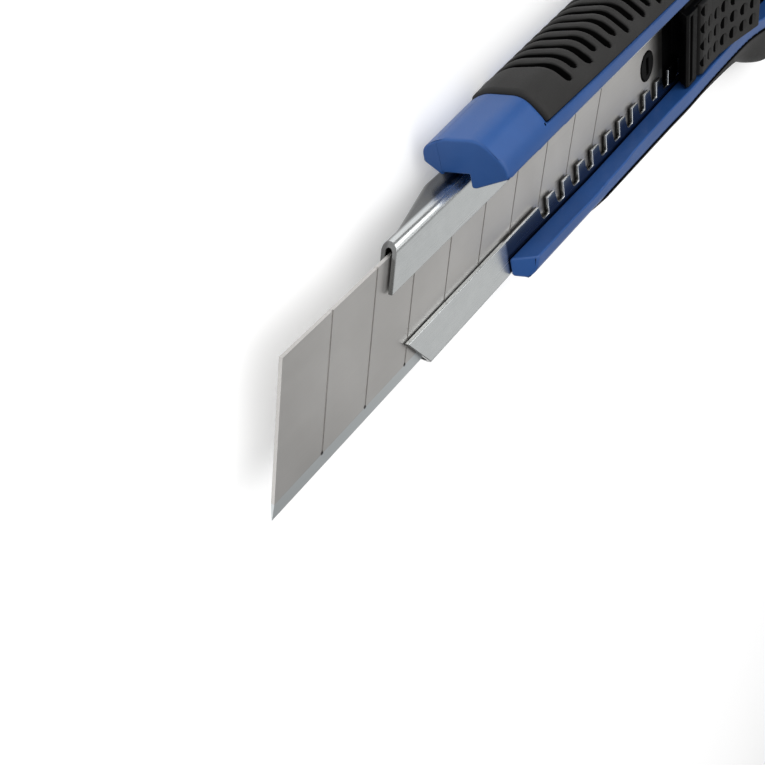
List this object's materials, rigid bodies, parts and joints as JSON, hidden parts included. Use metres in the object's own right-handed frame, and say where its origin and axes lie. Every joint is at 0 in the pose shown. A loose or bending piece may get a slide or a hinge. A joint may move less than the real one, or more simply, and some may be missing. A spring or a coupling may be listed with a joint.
{
  "type": "snap-off utility knife",
  "caption": "Snap-off utility knife with a steel blade channel, click-stop thumb slider, two-shell plastic handle, soft ribbed grips and a pull-off tail cap.",
  "frame": {"origin": "on the surface that the knife lies on, under the middle of its box, with its flat back down", "axes": "+X from the blade's point to the tail, +Y from the cutting edge to the spine, +Z from the flat back to the slider side"},
  "size_m": [0.1984, 0.0488, 0.015],
  "materials": {
    "blade_steel": "satin rolled blade steel with a ground edge",
    "channel_steel": "bright pressed sheet steel",
    "spring_steel": "plain spring steel",
    "screw_steel": "zinc plated",
    "blue_plastic": "satin moulded blue plastic",
    "black_plastic": "satin moulded black plastic",
    "grip_rubber": "soft matt overmoulded rubber"
  },
  "bodies": {
    "handle": {"front_shell": "blue_plastic", "back_shell": "blue_plastic", "blade_channel": "channel_steel", "top_grip": "grip_rubber", "lower_grip": "grip_rubber", "screw_1": "screw_steel", "screw_2": "screw_steel", "screw_3": "screw_steel", "screw_4": "screw_steel", "screw_5": "screw_steel", "spare_blade_1": "blade_steel", "spare_blade_2": "blade_steel", "magazine_spring": "spring_steel"},
    "carriage": {"blade_carrier": "black_plastic", "snap_blade": "blade_steel", "lock_spring": "spring_steel"},
    "pawl": {"lock_pawl": "spring_steel"},
    "thumb_slider": {"slider_body": "black_plastic", "thumb_pad": "grip_rubber"},
    "tail_cap": {"end_cap": "black_plastic"}
  },
  "joints": [
    {"name": "blade_slide", "type": "slide", "parent": "handle", "child": "carriage", "axis": [1, 0, 0], "range_m": [-0.03, 0.03]},
    {"name": "thumb_shift", "type": "slide", "parent": "carriage", "child": "thumb_slider", "axis": [-1, 0, 0], "range_m": [0, 0.0016], "stiffness_N_per_m": 500},
    {"name": "pawl_lift", "type": "slide", "parent": "carriage", "child": "pawl", "axis": [0, 1, 0], "range_m": [0, 0.0022], "deforming": ["lock_spring"]},
    {"name": "end_cap_pull", "type": "slide", "parent": "handle", "child": "tail_cap", "axis": [1, 0, 0], "range_m": [0, 0.03]}
  ],
  "couplings": [
    {"joint": "pawl_lift", "follows": "thumb_shift", "ratio": 1.375}
  ]
}
